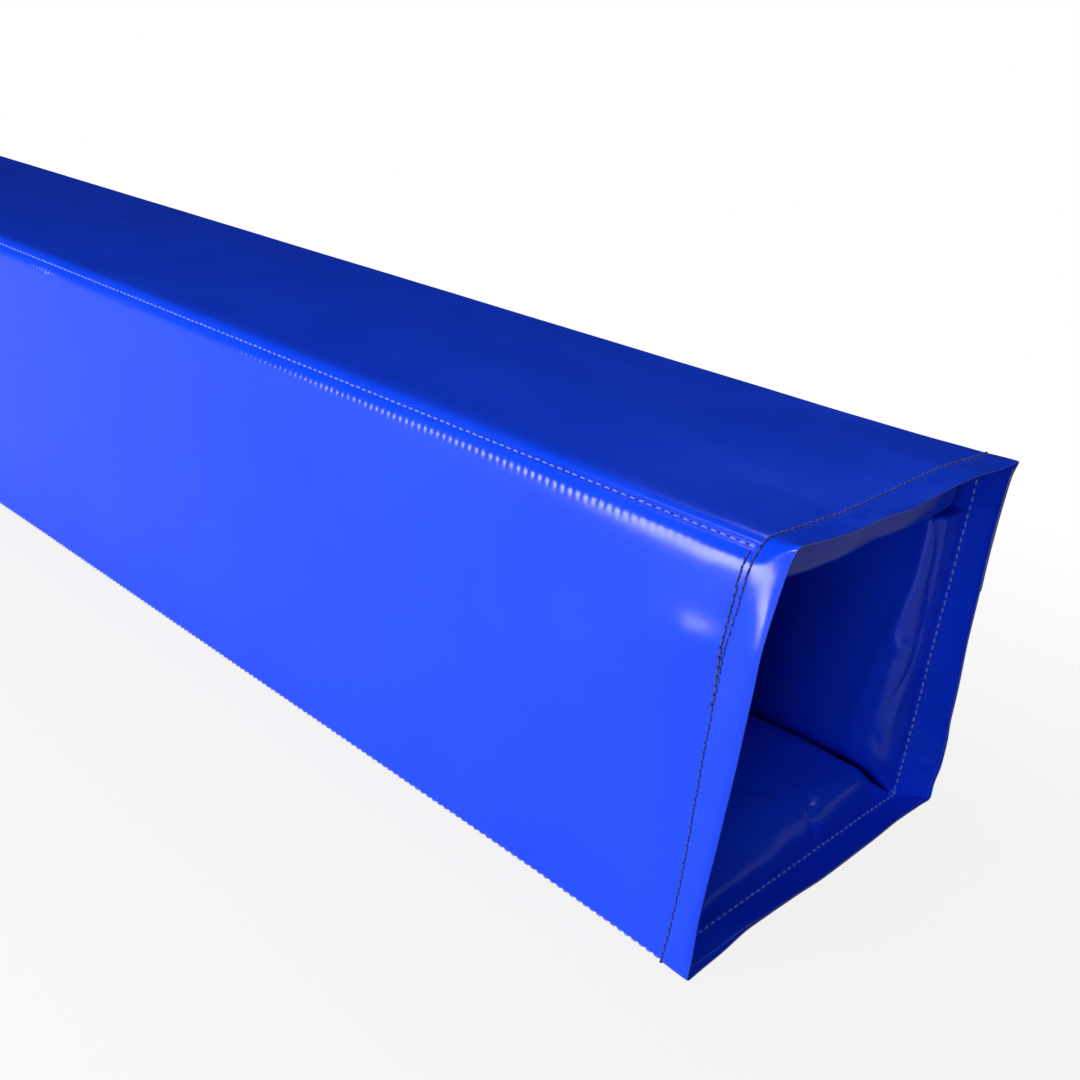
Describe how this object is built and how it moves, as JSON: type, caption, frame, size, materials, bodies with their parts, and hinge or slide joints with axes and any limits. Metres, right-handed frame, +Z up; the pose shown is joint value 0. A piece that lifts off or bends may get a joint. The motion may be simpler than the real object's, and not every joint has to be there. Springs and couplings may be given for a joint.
{
  "type": "pole pad",
  "caption": "Square foam pole pad in a glossy vinyl cover that folds round a post and closes with a hook and loop flap.",
  "frame": {"origin": "centre of the bottom panel's outer face, where the closed pad lies on the floor", "axes": "+X along the pad, +Y from the front panel to the back panel, +Z up from the floor"},
  "size_m": [1.8, 0.2239, 0.22],
  "materials": {
    "cover_vinyl": "glossy coated fabric",
    "liner_vinyl": "glossy coated fabric",
    "foam": "open cell foam",
    "fastening_tape": "woven hook and loop tape"
  },
  "bodies": {
    "bottom_panel": {"bottom_outer_skin": "cover_vinyl", "bottom_foam_slab": "foam", "bottom_inner_liner": "liner_vinyl"},
    "front_panel": {"front_outer_skin": "cover_vinyl", "front_foam_slab": "foam", "front_inner_liner": "liner_vinyl"},
    "top_panel": {"top_outer_skin": "cover_vinyl", "top_foam_slab": "foam", "top_inner_liner": "liner_vinyl"},
    "back_panel": {"back_outer_skin": "cover_vinyl", "back_foam_slab": "foam", "back_inner_liner": "liner_vinyl", "back_loop_strip": "fastening_tape"},
    "flap": {"closure_flap": "cover_vinyl", "flap_hook_strip": "fastening_tape"}
  },
  "joints": [
    {"name": "front_fold", "type": "hinge", "parent": "bottom_panel", "child": "front_panel", "pos_m": [0, -0.10649, 0.00351], "axis": [1, 0, 0], "range_deg": [0, 90]},
    {"name": "top_fold", "type": "hinge", "parent": "front_panel", "child": "top_panel", "pos_m": [0, -0.10649, 0.21649], "axis": [1, 0, 0], "range_deg": [0, 90]},
    {"name": "back_fold", "type": "hinge", "parent": "bottom_panel", "child": "back_panel", "pos_m": [0, 0.10649, 0.00351], "axis": [-1, 0, 0], "range_deg": [0, 90]},
    {"name": "flap_peel", "type": "hinge", "parent": "top_panel", "child": "flap", "pos_m": [0, 0.11039, 0.21649], "axis": [1, 0, 0], "range_deg": [0, 90], "deforming": ["closure_flap", "flap_hook_strip"]}
  ]
}
